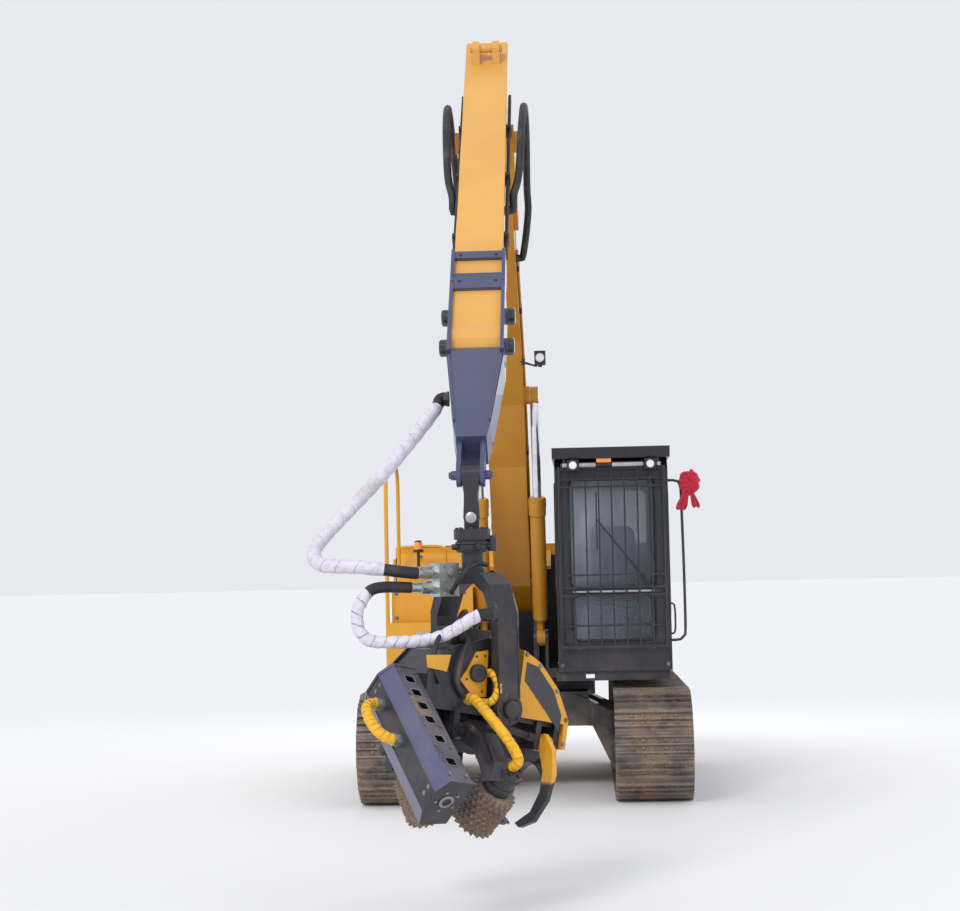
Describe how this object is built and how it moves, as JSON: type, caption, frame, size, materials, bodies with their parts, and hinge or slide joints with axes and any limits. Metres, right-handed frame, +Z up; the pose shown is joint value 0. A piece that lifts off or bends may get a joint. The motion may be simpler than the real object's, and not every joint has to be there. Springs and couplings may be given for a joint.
{
  "type": "forestry harvester",
  "caption": "Tracked carrier with a cab, a bent boom and a stick that carries a log-harvesting head with feed rollers, knives and a saw box on a rotator.",
  "frame": {"origin": "middle of the machine's footprint on the ground, hoses left out", "axes": "+Z up, -Y forward (boom and cab face -Y), +X towards the cab side"},
  "size_m": [2.72, 9.3924, 5.591],
  "materials": {
    "machine_yellow": "gloss paint",
    "black_paint": "satin paint",
    "slate_paint": "satin paint",
    "muddy_steel": "worn, muddy",
    "chrome": "polished",
    "hose_rubber": "matt",
    "white_wrap": "wrapped sleeve",
    "yellow_wrap": "spiral wrap",
    "glass": "clear",
    "red_cloth": "cloth",
    "seat_fabric": "woven",
    "zinc": "plated"
  },
  "bodies": {
    "undercarriage": {"undercarriage_frame": "black_paint", "left_track": "muddy_steel", "right_track": "muddy_steel", "left_idler": "muddy_steel", "right_idler": "muddy_steel", "left_sprocket": "muddy_steel", "right_sprocket": "muddy_steel"},
    "upper": {"revolving_frame": "black_paint", "counterweight": "machine_yellow", "engine_block": "muddy_steel", "engine_bay_frame": "black_paint", "fuel_tank": "machine_yellow", "toolbox": "machine_yellow", "handrail": "machine_yellow", "cab_frame": "black_paint", "windscreen": "glass", "side_glass": "glass", "rear_glass": "glass", "front_guard": "black_paint", "roof_guard": "black_paint", "seat_base": "black_paint", "seat_cushion": "seat_fabric", "seat_back": "seat_fabric", "mirror_rail": "black_paint", "red_cloth": "red_cloth"},
    "hood": {"engine_hood": "machine_yellow"},
    "left_door": {"left_service_door": "machine_yellow"},
    "right_door": {"right_service_door": "machine_yellow"},
    "lid": {"toolbox_lid": "machine_yellow"},
    "cab_entry": {"cab_door": "black_paint", "door_glass": "glass"},
    "boom_arm": {"boom": "machine_yellow"},
    "stick_arm": {"stick": "machine_yellow", "extension_bracket": "slate_paint", "left_stick_hose": "hose_rubber", "right_stick_hose": "hose_rubber", "supply_hose": "white_wrap"},
    "left_lift_tube": {"left_lift_barrel": "machine_yellow"},
    "left_lift_ram": {"left_lift_rod": "chrome"},
    "right_lift_tube": {"right_lift_barrel": "machine_yellow"},
    "right_lift_ram": {"right_lift_rod": "chrome"},
    "crowd_tube": {"crowd_barrel": "machine_yellow"},
    "crowd_ram": {"crowd_rod": "chrome"},
    "link": {"dangle_link": "black_paint"},
    "swivel": {"rotator": "black_paint"},
    "hanger": {"yoke": "black_paint", "hose_manifold": "zinc", "loop_hose": "white_wrap"},
    "head": {"head_frame": "black_paint", "side_cover": "machine_yellow", "saw_box": "slate_paint", "yellow_saw_hose": "yellow_wrap", "yellow_motor_hose": "yellow_wrap"},
    "bar": {"saw_bar": "chrome"},
    "near_arm": {"left_feed_arm": "black_paint"},
    "far_arm": {"right_feed_arm": "black_paint"},
    "near_roller": {"left_feed_roller": "muddy_steel"},
    "far_roller": {"right_feed_roller": "muddy_steel"},
    "near_knife": {"left_knife": "machine_yellow"},
    "far_knife": {"right_knife": "machine_yellow"}
  },
  "joints": [
    {"name": "swing", "type": "hinge", "parent": "undercarriage", "child": "upper", "pos_m": [-0.065, 2.52484, 0], "axis": [0, 0, 1], "continuous": true},
    {"name": "hood", "type": "hinge", "parent": "upper", "child": "hood", "pos_m": [-0.065, 3.90984, 1.9503], "axis": [-1, 0, 0], "range_deg": [0, 50]},
    {"name": "left_service_door", "type": "hinge", "parent": "upper", "child": "left_door", "pos_m": [1.127, 2.95984, 1], "axis": [0, 0, 1], "range_deg": [-110, 0]},
    {"name": "right_service_door", "type": "hinge", "parent": "upper", "child": "right_door", "pos_m": [-1.257, 2.95984, 1], "axis": [0, 0, 1], "range_deg": [0, 110]},
    {"name": "toolbox_lid", "type": "hinge", "parent": "upper", "child": "lid", "pos_m": [-0.065, 1.68484, 1.3803], "axis": [-1, 0, 0], "range_deg": [0, 80]},
    {"name": "cab_door", "type": "hinge", "parent": "upper", "child": "cab_entry", "pos_m": [1.125, 2.11984, 0], "axis": [0, 0, 1], "range_deg": [0, 165]},
    {"name": "boom_hinge", "type": "hinge", "parent": "upper", "child": "boom_arm", "pos_m": [-0.065, 2.42484, 1.6], "axis": [1, 0, 0], "range_deg": [-24.3, 88.7]},
    {"name": "stick_hinge", "type": "hinge", "parent": "boom_arm", "child": "stick_arm", "pos_m": [-0.065, -0.90081, 4.77806], "axis": [1, 0, 0], "range_deg": [-55.2, 44.8], "deforming": ["left_stick_hose", "right_stick_hose"]},
    {"name": "left_lift_pivot", "type": "hinge", "parent": "upper", "child": "left_lift_tube", "pos_m": [-0.065, 1.92484, 1.25], "axis": [1, 0, 0], "range_deg": [-26.25, 95.81]},
    {"name": "left_lift_slide", "type": "slide", "parent": "left_lift_tube", "child": "left_lift_ram", "axis": [0, -0.2676, 0.9635], "range_m": [-0.7743, 0.2123]},
    {"name": "right_lift_pivot", "type": "hinge", "parent": "upper", "child": "right_lift_tube", "pos_m": [-0.065, 1.92484, 1.25], "axis": [1, 0, 0], "range_deg": [-26.25, 95.81]},
    {"name": "right_lift_slide", "type": "slide", "parent": "right_lift_tube", "child": "right_lift_ram", "axis": [0, -0.2676, 0.9635], "range_m": [-0.7743, 0.2123]},
    {"name": "crowd_pivot", "type": "hinge", "parent": "boom_arm", "child": "crowd_tube", "pos_m": [-0.065, 1.50398, 3.53122], "axis": [1, 0, 0], "range_deg": [-1.35, 1.67]},
    {"name": "crowd_slide", "type": "slide", "parent": "crowd_tube", "child": "crowd_ram", "axis": [0, -0.7563, 0.6543], "range_m": [-0.5975, 0.485]},
    {"name": "link_pitch", "type": "hinge", "parent": "stick_arm", "child": "link", "pos_m": [-0.065, -3.68692, 2.31311], "axis": [-1, 0, 0], "range_deg": [-60, 60], "deforming": ["supply_hose"]},
    {"name": "link_roll", "type": "hinge", "parent": "link", "child": "swivel", "pos_m": [-0.18, -3.68692, 2.08111], "axis": [0, 1, 0], "range_deg": [-25, 25]},
    {"name": "head_rotate", "type": "hinge", "parent": "swivel", "child": "hanger", "pos_m": [-0.18, -3.68692, 1.06], "axis": [0, 0, 1], "range_deg": [-150, 150]},
    {"name": "head_tilt", "type": "hinge", "parent": "hanger", "child": "head", "pos_m": [-0.18, -3.68692, 1.06], "axis": [-0.6428, 0.766, 0], "range_deg": [-101, 14], "deforming": ["loop_hose"]},
    {"name": "saw_swing", "type": "hinge", "parent": "head", "child": "bar", "pos_m": [-0.56788, -4.06839, 1.15398], "axis": [0.752, 0.631, -0.1908], "range_deg": [0, 85]},
    {"name": "near_arm", "type": "hinge", "parent": "head", "child": "near_arm", "pos_m": [-0.2115, -3.93528, 0.9531], "axis": [-0.752, -0.631, 0.1908], "range_deg": [-8, 40], "deforming": ["yellow_motor_hose"]},
    {"name": "far_arm", "type": "hinge", "parent": "head", "child": "far_arm", "pos_m": [-0.43005, -3.67482, 0.9531], "axis": [0.752, 0.631, -0.1908], "range_deg": [-8, 40]},
    {"name": "near_roller", "type": "hinge", "parent": "near_arm", "child": "near_roller", "pos_m": [-0.01905, -4.10014, 0.72093], "axis": [-0.5469, 0.4356, -0.7149], "continuous": true},
    {"name": "far_roller", "type": "hinge", "parent": "far_arm", "child": "far_roller", "pos_m": [-0.55899, -3.45666, 0.72093], "axis": [0.334, -0.6143, -0.7149], "continuous": true},
    {"name": "near_knife", "type": "hinge", "parent": "head", "child": "near_knife", "pos_m": [0.16824, -3.61664, 0.85674], "axis": [-0.752, -0.631, 0.1908], "range_deg": [-15, 45]},
    {"name": "far_knife", "type": "hinge", "parent": "head", "child": "far_knife", "pos_m": [-0.05031, -3.35618, 0.85674], "axis": [0.752, 0.631, -0.1908], "range_deg": [-15, 45]}
  ],
  "couplings": [
    {"joint": "left_lift_pivot", "follows": "boom_hinge", "ratio": 1.08},
    {"joint": "right_lift_pivot", "follows": "boom_hinge", "ratio": 1.08},
    {"joint": "left_lift_slide", "follows": "boom_hinge", "m_per_rad": -0.5},
    {"joint": "right_lift_slide", "follows": "boom_hinge", "m_per_rad": -0.5},
    {"joint": "crowd_pivot", "follows": "stick_hinge", "ratio": -0.03},
    {"joint": "crowd_slide", "follows": "stick_hinge", "m_per_rad": 0.62},
    {"joint": "far_arm", "follows": "near_arm", "ratio": 1},
    {"joint": "far_knife", "follows": "near_knife", "ratio": 1}
  ]
}
